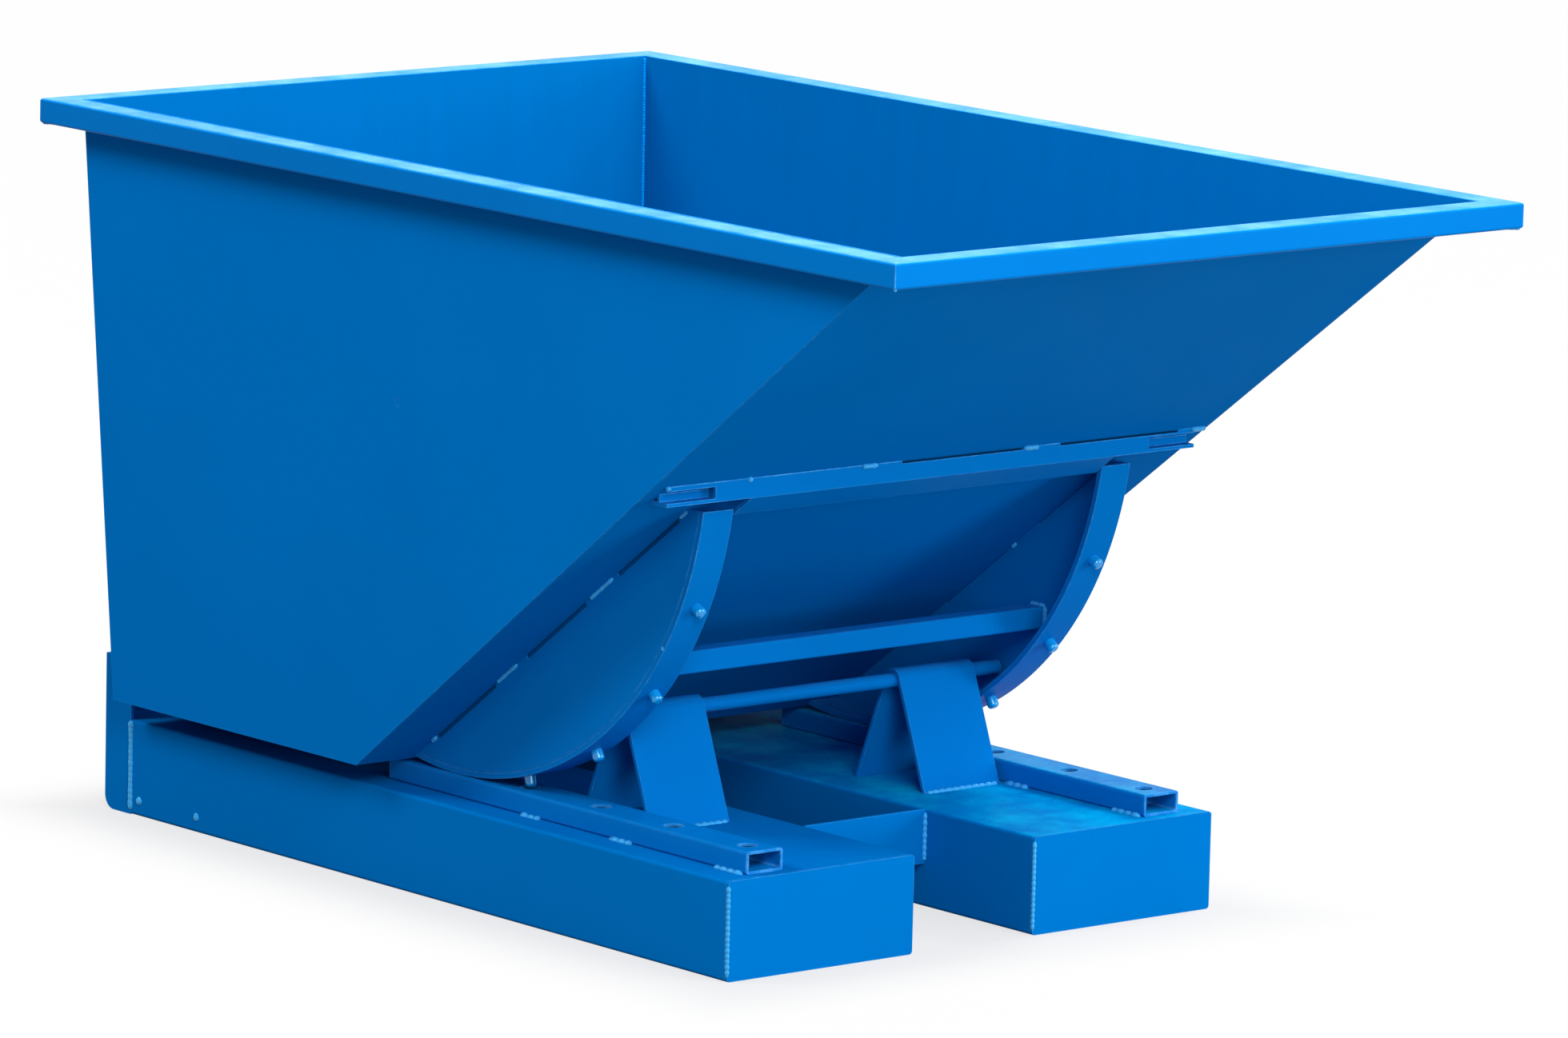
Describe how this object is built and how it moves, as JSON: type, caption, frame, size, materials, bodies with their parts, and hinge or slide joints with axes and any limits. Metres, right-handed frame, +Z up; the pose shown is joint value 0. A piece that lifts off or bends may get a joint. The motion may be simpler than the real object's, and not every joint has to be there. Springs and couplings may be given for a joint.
{
  "type": "tipping hopper",
  "caption": "Self-tipping hopper: an open sloped steel bin that rolls forward on curved rockers along the rails of a base with fork pockets.",
  "frame": {"origin": "on the floor, under the middle of the rim", "axes": "+Z up, +Y towards the rear where the forks enter, so the bin tips towards -Y; +X is to the right seen from the front"},
  "size_m": [1.06, 1.793, 0.9915],
  "materials": {
    "blue_paint": "satin blue paint over welded sheet steel",
    "plain_steel": "plain round bar, lightly worn",
    "pad_rubber": "matte black rubber"
  },
  "bodies": {
    "base": {"fork_pocket_left": "blue_paint", "fork_pocket_right": "blue_paint", "front_cross_plate": "blue_paint", "latch_bracket": "blue_paint", "latch_pin": "plain_steel", "pocket_end_left": "blue_paint", "pocket_end_right": "blue_paint", "rail_left": "blue_paint", "rail_right": "blue_paint", "rear_frame": "blue_paint", "rear_rest_tube": "blue_paint", "rest_pads": "pad_rubber", "stop_bar": "blue_paint", "stop_stand_left": "blue_paint", "stop_stand_right": "blue_paint"},
    "roll_axis": {"roll_axis_plugs": "blue_paint"},
    "bin": {"bin_bottom": "blue_paint", "bin_rear_wall": "blue_paint", "bin_side_left": "blue_paint", "bin_side_right": "blue_paint", "bin_slope": "blue_paint", "rim_front": "blue_paint", "rim_left": "blue_paint", "rim_rear": "blue_paint", "rim_right": "blue_paint", "rocker_band_left": "blue_paint", "rocker_band_right": "blue_paint", "rocker_cross_tube": "blue_paint", "rocker_plate_left": "blue_paint", "rocker_plate_right": "blue_paint", "rocker_studs_left": "blue_paint", "rocker_studs_right": "blue_paint", "striker_lugs": "blue_paint", "striker_rod": "plain_steel", "upper_cross_member": "blue_paint"},
    "latch": {"latch_hook": "blue_paint", "latch_grip": "plain_steel"}
  },
  "joints": [
    {"name": "bin_roll", "type": "slide", "parent": "base", "child": "roll_axis", "axis": [0, -1, 0], "range_m": [0, 0.5443]},
    {"name": "bin_tip", "type": "hinge", "parent": "roll_axis", "child": "bin", "pos_m": [0, 0.1626, 0.6693], "axis": [1, 0, 0], "range_deg": [0, 61.5]},
    {"name": "latch_swing", "type": "hinge", "parent": "base", "child": "latch", "pos_m": [0, 0.84562, 0.226], "axis": [1, 0, 0], "range_deg": [0, 18]}
  ],
  "couplings": [
    {"joint": "bin_roll", "follows": "bin_tip", "m_per_rad": 0.507}
  ]
}
